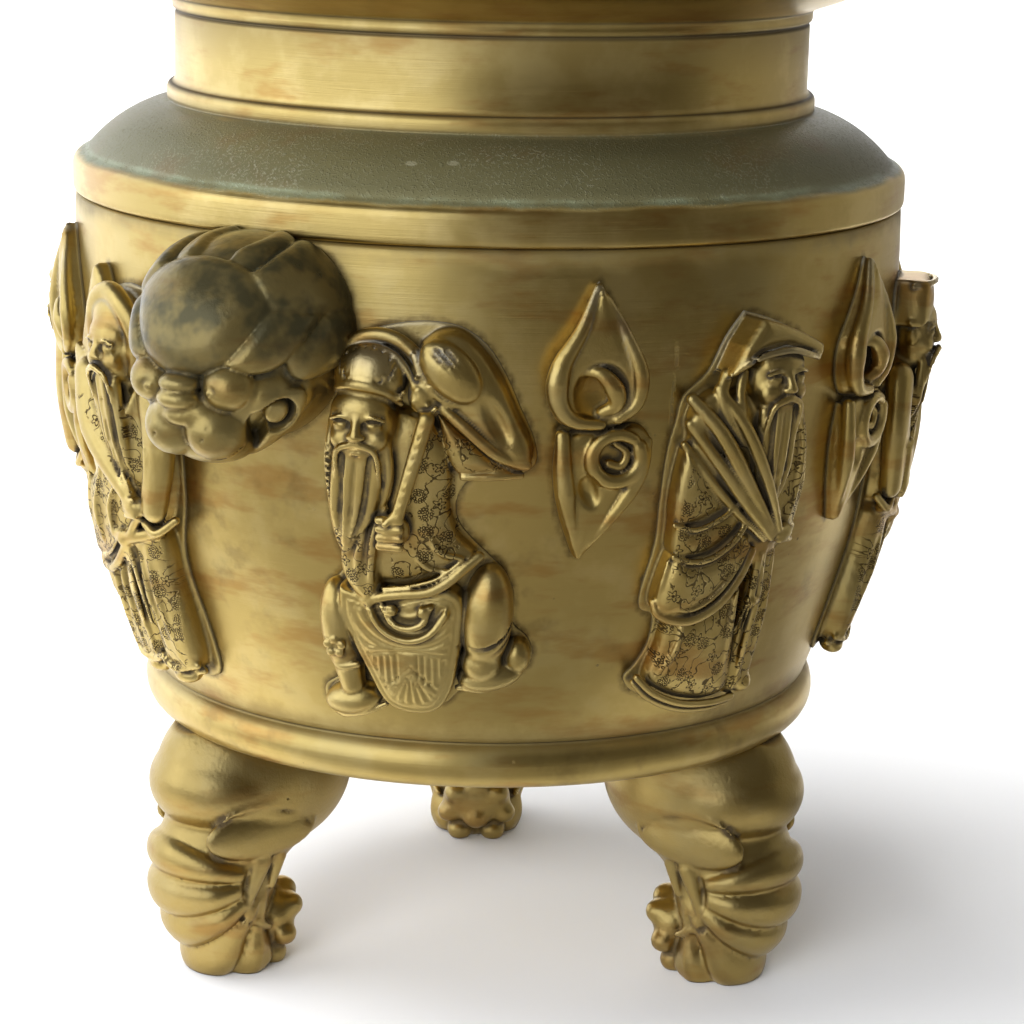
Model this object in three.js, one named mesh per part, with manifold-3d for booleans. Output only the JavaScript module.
// A large covered vessel of cast brass: a drum-shaped bowl on three elephant-head legs, with a
// domed shoulder, a wide neck with a flared lip, and a low lid. Eight robed immortals, six cloud
// scrolls and two lion masks are separate castings fixed round the drum.
// Millimetres, +Z up, origin on the floor under the vessel's axis. Azimuth 0 faces -Y and
// grows towards +X.
import * as THREE from "three";
import { mergeVertices } from "three/addons/utils/BufferGeometryUtils.js";
import Module from "manifold-3d";

const wasm = await Module();
wasm.setup();

// Driving dimensions of the turned shells
const wall = 5; // thickness of the cast shells
const gap = 0.3; // clearance between pieces that touch
const turnSegments = 30; // flats round each turned shell

const waistRadius = 200.5; // widest radius of the drum
const waistHeight = 350; // height of that widest ring
const drumTaper = 0.00088; // how fast the side curves in, per millimetre squared
const drumTop = 376; // seam under the shoulder
const drumBottom = 145; // top edge of the lower moulding

const mouldingHeight = 22; // lower half-round moulding
const mouldingProud = 4; // how far it stands out past the drum's lower edge
const bellyDepth = 21; // drop of the rounded underside

const bandHeight = 15; // plain band round the shoulder's foot
const bandProud = 1.4; // how far it stands past the drum's top edge
const domeBottom = 396;
const domeTop = 419.5;
const domeFoot = 194.5; // radius where the dome starts
const domeBulge = 3.5; // rise of the dome's curve over its chord

const neckRadius = 152.5;
const neckBaseProud = 3.5; // low collar where the neck meets the dome
const neckBaseHeight = 8;
const neckTop = 461.5; // groove under the lip's ring
const lipRingProud = 1.3;
const lipRingHeight = 6.5;
const lipRadius = 190;
const lipRise = 20.5; // from the ring up to the lip's top
const lipTop = neckTop + lipRingHeight + lipRise;
const lipEdge = 8; // height of the lip's rounded edge

// Driving dimensions of the lid
const lidRadius = 172;
const lidBand = 7;
const lidSpigot = 12; // depth of the ring that locates it in the mouth
const lidClearance = 1.5; // radial clearance of that ring
const lidDomeRadius = 163;
const lidDomeRise = 32;
const knobNeckRadius = 11;
const knobRadius = 19;
const knobHeight = 44;

// Driving dimensions of the legs
const legAzimuths = { leg_left: -60, leg_right: 60, leg_rear: 180 };
const curlRadial = 94; // line that the trunk's ribs fan out from, from the vessel's axis
const curlHeight = 60;
const ribReach = 87; // from that line to the ribs' outer ends
const ribCount = 4;
const ribStep = 16; // angle from rib to rib, in degrees
const ribDepth = 4; // depth of the grooves between the ribs
const legHalfWidth = 34; // half the leg's width under the bowl
const footHalfWidth = 21;

// Driving dimensions of the applied castings
const skinRadius = 190; // radius at which widths along the skin are measured
const figureAzimuth = -9; // first figure
const figureCount = 8;
const cloudOffset = 23; // from a figure to the cloud on its right
const lionAzimuths = { lion_mask_left: -29.6, lion_mask_right: 150.4 };
const lionHeight = 331; // height of the mask's middle
const hemHeight = 167; // height of the robes' hems
const sink = 6; // depth to which a casting is built into the skin before it is cut away

const rad = THREE.MathUtils.degToRad;
const V2 = (x, y) => new THREE.Vector2(x, y);

// Turns a three.js geometry into a manifold solid, facing out.
function solid(geometry) {
  const g = geometry.clone();
  g.deleteAttribute("normal");
  g.deleteAttribute("uv");
  const merged = mergeVertices(g, 1e-3);
  const triVerts = new Uint32Array(merged.index.array);
  const make = () =>
    new wasm.Manifold(
      new wasm.Mesh({
        numProp: 3,
        vertProperties: new Float32Array(merged.attributes.position.array),
        triVerts,
      }),
    );
  let made = make();
  if (made.volume() < 0) {
    for (let i = 0; i < triVerts.length; i += 3) {
      [triVerts[i], triVerts[i + 1]] = [triVerts[i + 1], triVerts[i]];
    }
    made = make();
  }
  return made;
}

function geometryOf(manifold) {
  const m = manifold.getMesh();
  const g = new THREE.BufferGeometry();
  g.setAttribute("position", new THREE.BufferAttribute(m.vertProperties, 3));
  g.setIndex(new THREE.BufferAttribute(m.triVerts, 1));
  g.computeVertexNormals();
  return g;
}

const join = (solids) => solids.reduce((a, b) => a.add(b));

// A turned solid from a closed profile of radius and height.
function turned(profile, segments = turnSegments) {
  const points = profile.map(([r, z]) => V2(r, z));
  return new THREE.LatheGeometry(points, segments).rotateX(Math.PI / 2);
}

// The drum's outer radius at a height.
function drumRadius(z) {
  return waistRadius - drumTaper * (waistHeight - z) ** 2;
}

// The outer profile of the bowl from the underside's middle up to its rim, grown by a margin.
function bowlOutside(grow = 0) {
  const edge = drumRadius(drumBottom);
  const mouldingMiddle = drumBottom - mouldingHeight / 2;
  const footRadius = edge - mouldingProud;
  const bottom = mouldingMiddle - mouldingHeight / 2 - bellyDepth;
  const profile = [[0, bottom - grow]];
  for (const share of [0.5, 0.8, 1]) {
    profile.push([footRadius * share, bottom + bellyDepth * share ** 2.6 - grow]);
  }
  for (const turn of [-50, 0, 50]) {
    const a = rad(turn);
    profile.push([
      footRadius + (2 * mouldingProud + grow) * Math.cos(a),
      mouldingMiddle + (mouldingHeight / 2) * Math.sin(a),
    ]);
  }
  const sideSteps = 4;
  for (let i = 0; i <= sideSteps; i++) {
    const z = drumBottom + ((drumTop - drumBottom) * i) / sideSteps;
    profile.push([drumRadius(z) + grow, z]);
  }
  return profile;
}

function bowl() {
  const outside = bowlOutside();
  const floorStart = drumBottom - mouldingHeight;
  const inside = [];
  const sideSteps = 3;
  for (let i = 0; i <= sideSteps; i++) {
    const z = drumTop + ((floorStart + wall - drumTop) * i) / sideSteps;
    inside.push([drumRadius(z) - wall, z]);
  }
  const footRadius = drumRadius(drumBottom) - mouldingProud;
  for (const share of [0.8, 0.5]) {
    const z = floorStart - bellyDepth * (1 - share ** 2.6) + wall;
    inside.push([footRadius * share, z]);
  }
  inside.push([0, floorStart - bellyDepth + wall]);
  return turned([...outside, ...inside]);
}

// Points of the dome from its foot up to the neck, moved inwards by a thickness.
function domeCurve(inset, steps) {
  const neckFoot = neckRadius + neckBaseProud;
  const run = domeFoot - neckFoot;
  const rise = domeTop - domeBottom;
  const length = Math.hypot(run, rise);
  const points = [];
  for (let i = 0; i <= steps; i++) {
    const t = i / steps;
    const lift = 4 * domeBulge * t * (1 - t) - inset;
    points.push([
      domeFoot - run * t + (lift * rise) / length,
      domeBottom + rise * t + (lift * run) / length,
    ]);
  }
  return points;
}

// The shoulder, neck and lip, turned as one shell that stands on the bowl's rim.
function collar() {
  const seat = drumTop + gap;
  const bandRadius = drumRadius(drumTop) + bandProud;
  const neckFoot = neckRadius + neckBaseProud;
  const ring = neckRadius + lipRingProud;
  const inner = neckRadius - wall;
  const ringTop = neckTop + lipRingHeight;
  const outside = [
    [bandRadius, seat],
    [bandRadius, seat + bandHeight],
    [domeFoot + 1.5, domeBottom - 1.8],
    ...domeCurve(0, 3),
    [neckFoot, domeTop + neckBaseHeight],
    [neckRadius, domeTop + neckBaseHeight + 1.5],
    [neckRadius, neckTop],
    [ring, neckTop + 1.2],
    [ring, ringTop],
    [lipRadius - 2, lipTop - lipEdge],
    [lipRadius, lipTop - lipEdge * 0.5],
    [lipRadius - 3, lipTop],
  ];
  const inside = [
    [inner, lipTop],
    [inner, domeTop],
    ...domeCurve(wall, 1).reverse(),
    [bandRadius - wall - 1, seat + bandHeight * 0.6],
    [bandRadius - wall - 1, seat],
  ];
  return turned([...outside, ...inside, outside[0]]);
}

// The lid with its knob. It rests on the lip, and its spigot ring drops into the mouth.
function lid() {
  const seat = lipTop + gap;
  const bandTop = seat + lidBand;
  const spigot = neckRadius - wall - lidClearance;
  const crown = bandTop + lidDomeRise;
  const dome = (radius, rise, t) => [
    radius * Math.cos(t),
    bandTop + 1 + rise * Math.sin(t),
  ];
  const profile = [
    [spigot, seat - lidSpigot],
    [spigot, seat],
    [lidRadius - 1, seat],
    [lidRadius, seat + lidBand / 2],
    [lidRadius - 1.5, bandTop],
    [lidDomeRadius, bandTop + 1],
  ];
  for (const turn of [28, 56]) {
    profile.push(dome(lidDomeRadius, lidDomeRise, rad(turn)));
  }
  profile.push(
    [knobRadius * 1.3, crown - 1],
    [knobNeckRadius, crown + 4],
    [knobRadius, crown + knobHeight * 0.4],
    [knobRadius * 0.75, crown + knobHeight * 0.65],
    [0, crown + knobHeight],
  );
  const inside = [[0, crown - wall]];
  for (const turn of [56, 30]) {
    inside.push(dome(lidDomeRadius - wall, lidDomeRise - wall, rad(turn)));
  }
  inside.push([spigot - wall, seat], [spigot - wall, seat - lidSpigot]);
  return turned([...profile, ...inside, profile[0]]);
}

// A frame on the drum: X to the right along the skin, Y up it and Z straight out of it.
function seatOn(azimuth, u, z, out) {
  const a = rad(azimuth) + u / skinRadius;
  const right = new THREE.Vector3(Math.cos(a), Math.sin(a), 0);
  const slope = 2 * drumTaper * (waistHeight - z);
  const up = new THREE.Vector3(Math.sin(a) * slope, -Math.cos(a) * slope, 1).normalize();
  const normal = new THREE.Vector3().crossVectors(right, up);
  const r = drumRadius(z);
  const at = new THREE.Vector3(Math.sin(a) * r, -Math.cos(a) * r, z);
  at.addScaledVector(normal, out);
  return new THREE.Matrix4().makeBasis(right, up, normal).setPosition(at);
}

// A closed skin over rings of points with one count, capped at both ends.
function skinOver(rings) {
  const count = rings[0].length;
  const points = rings.flat();
  const index = [];
  for (let i = 0; i + 1 < rings.length; i++) {
    for (let j = 0; j < count; j++) {
      const a = i * count + j;
      const b = i * count + ((j + 1) % count);
      index.push(a, b, a + count, b, b + count, a + count);
    }
  }
  const last = (rings.length - 1) * count;
  for (let j = 1; j + 1 < count; j++) {
    index.push(0, j + 1, j, last, last + j, last + j + 1);
  }
  const g = new THREE.BufferGeometry();
  g.setAttribute("position", new THREE.Float32BufferAttribute(points.flat(), 3));
  g.setIndex(index);
  return g;
}

// Makes the shapes that one casting is modelled from. Places are [right, height, out] from the
// casting's own middle line, and side -1 mirrors the casting.
function modeller(azimuth, side = 1) {
  const place = (geometry, [u, z, out], tilt = 0) => {
    const turn = new THREE.Matrix4().makeRotationZ(rad(tilt * side));
    const seat = seatOn(azimuth, u * side, z, out);
    return solid(geometry.applyMatrix4(turn).applyMatrix4(seat));
  };
  // A mass that follows the drum: levels of [height, left, right, front], foot first.
  const mass = (levels) => {
    const across = [-1, -0.97, -0.5, 0.5, 0.97, 1];
    const forward = [null, 0.35, 0.95, 0.95, 0.35, null];
    const rings = levels.map(([z, left, right, front]) =>
      across.map((x, i) => {
        const u = (left + right) / 2 + ((right - left) / 2) * x;
        const out = forward[i] === null ? -sink : front * forward[i];
        const seat = seatOn(azimuth, u * side, z, out);
        return new THREE.Vector3().setFromMatrixPosition(seat).toArray();
      }),
    );
    return solid(skinOver(rings));
  };
  // A rounded mass with half sizes [across, up, out].
  const ball = (at, [rx, ry, rz], tilt = 0, round = 6, rings = 3) => {
    const g = new THREE.SphereGeometry(1, round, rings).rotateX(Math.PI / 2);
    return place(g.scale(rx, ry, rz), at, tilt);
  };
  // A tapered limb from one place to another, flattened by the share deep.
  const limb = (from, to, r1, r2, deep = 0.8) => {
    const [dx, dy] = [to[0] - from[0], to[1] - from[1]];
    const length = Math.hypot(dx, dy);
    const profile = [
      V2(0, -r1 * 0.7),
      V2(r1, 0),
      V2(r2, length),
      V2(0, length + r2 * 0.7),
    ];
    const g = new THREE.LatheGeometry(profile, 4).scale(1, 1, deep);
    const rise = Math.atan2(to[2] - from[2], length);
    g.translate(0, -length / 2, 0).rotateX(rise);
    const tilt = THREE.MathUtils.radToDeg(Math.atan2(dy, dx)) - 90;
    const middle = from.map((value, i) => (value + to[i]) / 2);
    return place(g, middle, tilt);
  };
  // A flat leaf of an outline, and of a hole in it, given as [right, height] corners.
  const leaf = (corners, out, thick, hole) => {
    const n = corners.length;
    const cu = corners.reduce((s, c) => s + c[0], 0) / n;
    const cz = corners.reduce((s, c) => s + c[1], 0) / n;
    const flat = (list) => list.map(([u, z]) => V2((u - cu) * side, z - cz));
    const shape = new THREE.Shape(flat(corners));
    if (hole) {
      shape.holes.push(new THREE.Path(flat(hole)));
    }
    const g = new THREE.ExtrudeGeometry(shape, { depth: thick, bevelEnabled: false });
    return solid(g.applyMatrix4(seatOn(azimuth, cu * side, cz, out)));
  };
  return { mass, ball, limb, leaf };
}

// Levels of a hat or headdress over a head whose middle is at [u, z].
const hats = {
  square: (u, z) => [[z + 3, u - 19, u + 16, 18], [z + 21, u - 10, u + 23, 15]],
  round: (u, z) => [[z + 3, u - 17, u + 17, 19], [z + 25, u - 15, u + 15, 16]],
  bun: (u, z) => [[z + 9, u - 14, u + 14, 17], [z + 17, u - 8, u + 8, 13]],
  band: (u, z) => [[z + 6, u - 16, u + 16, 19], [z + 24, u - 11, u + 11, 14]],
  hood: (u, z) => [[z + 4, u - 20, u + 17, 18], [z + 27, u - 9, u + 6, 12]],
};

// What the standing immortals carry. Places follow the hands.
const attributes = {
  tablet: (m) => [m.limb([13, 244, 12], [22, 264, 14], 6, 6)],
  fan: (m) => [
    m.leaf([[-40, 312], [-22, 352], [-8, 330], [-14, 300]], -4, 11),
    m.leaf([[-46, 262], [-44, 312], [-24, 306], [-28, 258]], -4, 13),
  ],
  gourd: (m) => [
    m.ball([-25, 350, 5], [18, 19, 14]),
    m.limb([-27, 342, 8], [-33, 270, 8], 6, 5),
  ],
  flute: (m) => [m.limb([-22, 290, 14], [36, 302, 10], 4, 4, 1)],
  lotus: (m) => [
    m.limb([30, 232, 6], [36, 306, 4], 5, 5, 1),
    m.ball([36, 318, 5], [13, 17, 11]),
  ],
  sword: (m) => [m.limb([34, 210, 6], [-27, 340, 3], 5, 6, 1)],
};

// A standing robed immortal: hem, waist, chest, shoulders, neck, head and hat in one mass, with
// a raised forearm, a hanging sleeve, a beard and what the hands hold.
function standing(azimuth, { side = 1, hat, attribute, beard = 50, head = [3, 318] }) {
  const m = modeller(azimuth, side);
  const [hu, hz] = head;
  const body = [
    [hemHeight, -34, 26, 12],
    [hemHeight + 14, -37, 28, 16],
    [232, -30, 21, 15],
    [272, -37, 30, 15],
    [300, -30, 26, 13],
    [hz - 12, hu - 11, hu + 9, 17],
    [hz - 4, hu - 14, hu + 13, 20],
    ...hats[hat](hu, hz),
  ];
  const parts = [
    m.mass(body),
    m.limb([-27, 300, 10], [10, 253, 15], 12, 9),
    m.leaf([[15, 252], [-42, 214], [-30, 209], [2, 228], [14, 240]], -4, 19),
    ...attributes[attribute](m),
  ];
  if (beard) {
    parts.push(m.limb([hu + 1, hz - 12, 15], [hu + 8, hz - 14 - beard, 15], 10, 4));
  }
  return parts;
}

// A squatting immortal with a sack over one shoulder, a staff, a hide apron and boots.
function squatting(azimuth, { side = 1 }) {
  const m = modeller(azimuth, side);
  const body = [
    [196, -30, 20, 12],
    [228, -30, 14, 15],
    [262, -32, 12, 15],
    [288, -28, 10, 15],
    [302, -29, -2, 19],
    [316, -31, 6, 18],
    [338, -24, 0, 12],
  ];
  const sack = [[0, 341], [16, 343], [34, 322], [51, 283], [40, 278], [4, 300]];
  const apron = [[-33, 213], [-20, 226], [14, 228], [23, 213], [13, 170], [-12, 170]];
  return [
    m.mass(body),
    m.leaf(sack, -4, 15),
    m.limb([-19, 292, 13], [-26, 246, 13], 13, 4),
    m.limb([8, 306, 12], [-6, 262, 17], 6, 6, 1),
    m.limb([-4, 262, 16], [-20, 226, 13], 9, 10),
    m.leaf(apron, -4, 19),
    m.mass([[161, -48, -20, 9], [172, -49, -18, 14], [190, -41, -22, 12], [226, -42, -24, 15]]),
    m.mass([[184, 17, 44, 10], [198, 18, 40, 15], [236, 16, 42, 15]]),
  ];
}

// Fixes a casting to the drum: all that would lie inside the skin is cut away.
function applied(parts, skin) {
  return geometryOf(join(parts).subtract(skin));
}

// A cloud scroll: a flame-tipped ring, open to the skin round a curl, over a hanging comma.
function cloud(azimuth) {
  const m = modeller(azimuth);
  const circle = (u, z, radius, count, from = 0, sweep = 2 * Math.PI) =>
    Array.from({ length: count }, (_, i) => {
      const a = from + (sweep * i) / count;
      return [u + radius * Math.cos(a), z + radius * Math.sin(a)];
    });
  const drop = (u, z, radius, [tu, tz], hole) => {
    const open = rad(52);
    const from = Math.atan2(tz - z, tu - u) + open;
    const sweep = (2 * Math.PI - 2 * open) * (6 / 5);
    const outline = [[tu, tz], ...circle(u, z, radius, 6, from, sweep)];
    return m.leaf(outline, -sink, sink + 9, hole && circle(u + 1, z, hole, 5));
  };
  return [
    drop(-1, 318, 20, [-4, 363], 10),
    drop(4, 285, 18.5, [-5, 240]),
    m.limb([7, 322, 2], [-1, 315, 2], 5, 3),
  ];
}

// A lion mask that stands out of the drum as a handle: brow dome, eyes, muzzle and mane.
function lionMask(azimuth) {
  const m = modeller(azimuth);
  const z = lionHeight;
  const parts = [
    m.mass([
      [z - 43, -14, 14, 40],
      [z - 31, -24, 24, 58],
      [z - 17, -27, 27, 64],
      [z - 6, -31, 31, 62],
      [z + 8, -33, 33, 70],
      [z + 22, -31, 31, 64],
      [z + 35, -25, 25, 45],
      [z + 44, -15, 15, 20],
    ]),
  ];
  for (const s of [-1, 1]) {
    parts.push(
      m.ball([19 * s, z - 9, 46], [11, 11, 14]),
      m.ball([26 * s, z + 18, 12], [12, 25, 26], -12 * s),
      m.ball([26 * s, z - 19, 14], [12, 19, 24], 12 * s),
    );
  }
  return parts;
}

// One leg, an elephant's head whose ribbed trunk curls in under it. Built along +X and turned.
function leg(azimuth, bowlSolid) {
  const turnTo = rad(azimuth - 90);
  const ellipsoid = (at, size, tilt = 0, round = 6, rings = 3) => {
    const g = new THREE.SphereGeometry(1, round, rings).rotateX(Math.PI / 2);
    g.scale(...size).rotateY(rad(-tilt)).translate(...at);
    return solid(g.rotateZ(turnTo));
  };
  // One section of the trunk, an ellipse in a plane that fans out from the curl's line.
  const around = 8;
  const section = (angle, inner, outer, halfWidth) => {
    const middle = (inner + outer) / 2;
    return Array.from({ length: around }, (_, j) => {
      const t = (2 * Math.PI * j) / around;
      const r = middle + ((outer - inner) / 2) * Math.cos(t);
      const a = rad(angle);
      return [
        curlRadial + r * Math.cos(a),
        halfWidth * Math.sin(t),
        curlHeight + r * Math.sin(a),
      ];
    });
  };
  // The brow, from inside the bowl's underside outwards
  const sections = [
    section(128, 2, ribReach - 17, legHalfWidth - 10),
    section(98, 3, ribReach - 9, legHalfWidth + 2),
    section(66, 6, ribReach + 13, legHalfWidth + 4),
    section(42, 8, ribReach + 12, legHalfWidth + 2),
  ];
  const firstRib = (ribStep * (ribCount - 1)) / 2;
  for (let i = 0; i < ribCount; i++) {
    const share = i / ribCount;
    const halfWidth = THREE.MathUtils.lerp(legHalfWidth, footHalfWidth + 3, share);
    const angle = firstRib - ribStep * i;
    const inner = 9 + 14 * share ** 2;
    const groove = angle - ribStep / 2;
    sections.push(section(angle, inner, ribReach, halfWidth));
    sections.push(section(groove, inner, ribReach - ribDepth, halfWidth - ribDepth));
  }
  // The rounded foot, with the trunk's tip on its inner side
  sections.push(
    section(-41, 31, ribReach - 8, footHalfWidth + 2),
    section(-56, 35, ribReach - 9, footHalfWidth),
    section(-72, 38, ribReach - 24, footHalfWidth - 5),
  );
  const parts = [solid(skinOver(sections).rotateZ(turnTo))];
  for (const s of [-1, 1]) {
    parts.push(
      ellipsoid([130, s * (legHalfWidth - 4), 77], [30, 10, 17], 12),
      ellipsoid([136, s * (legHalfWidth - 8), 48], [7, 8, 19], 8),
    );
  }
  const reach = lipRadius;
  const floor = new THREE.BoxGeometry(2 * reach, 2 * reach, reach);
  const ground = solid(floor.translate(0, 0, -reach / 2));
  return geometryOf(join(parts).subtract(bowlSolid).subtract(ground));
}

// Materials: warm polished brass, and the same metal under a dull olive patina
const brass = new THREE.MeshStandardMaterial({
  color: 0xa98a4a,
  roughness: 0.38,
  metalness: 1,
});
const patina = new THREE.MeshStandardMaterial({
  color: 0x5c5a42,
  roughness: 0.6,
  metalness: 0.8,
});

const vessel = new THREE.Group();
function addPiece(name, geometry, material = brass) {
  const mesh = new THREE.Mesh(geometry, material);
  mesh.name = name;
  vessel.add(mesh);
}

addPiece("bowl", bowl());
addPiece("shoulder_and_neck", collar());
addPiece("lid", lid(), patina);

// The bowl's outside, filled in and a gap larger: what stands on it or hangs from it is cut
// to it.
const top = drumTop + gap;
const skin = solid(
  turned([...bowlOutside(gap), [drumRadius(drumTop) + gap, top], [0, top]]),
);
for (const [name, azimuth] of Object.entries(legAzimuths)) {
  addPiece(name, leg(azimuth, skin));
}

const immortals = [
  ["immortal_with_sack", squatting, {}],
  ["immortal_scholar", standing, { hat: "square", attribute: "tablet", beard: 56 }],
  ["immortal_in_tall_hat", standing, { side: -1, hat: "round", attribute: "tablet" }],
  ["immortal_with_lotus", standing, { side: -1, hat: "bun", attribute: "lotus", beard: 0 }],
  ["immortal_with_sword", standing, { side: -1, hat: "band", attribute: "sword" }],
  ["immortal_with_flute", standing, { hat: "bun", attribute: "flute", beard: 0 }],
  ["immortal_with_gourd", standing, { hat: "band", attribute: "gourd", beard: 30 }],
  ["immortal_with_fan", standing, { hat: "hood", attribute: "fan", beard: 40 }],
];
immortals.forEach(([name, pose, look], i) => {
  const azimuth = figureAzimuth + (360 / figureCount) * i;
  addPiece(name, applied(pose(azimuth, look), skin));
});

// Each gap between two figures holds a cloud, except the two that hold a lion mask.
let clouds = 0;
for (let i = 0; i < figureCount; i++) {
  const azimuth = figureAzimuth + cloudOffset + (360 / figureCount) * i;
  const taken = Object.values(lionAzimuths).some((lion) => {
    const apart = Math.abs(azimuth - lion) % 360;
    return Math.min(apart, 360 - apart) < cloudOffset / 2;
  });
  if (!taken) {
    clouds += 1;
    addPiece("cloud_scroll_" + clouds, applied(cloud(azimuth), skin));
  }
}
for (const [name, azimuth] of Object.entries(lionAzimuths)) {
  addPiece(name, applied(lionMask(azimuth), skin), patina);
}

export default vessel;
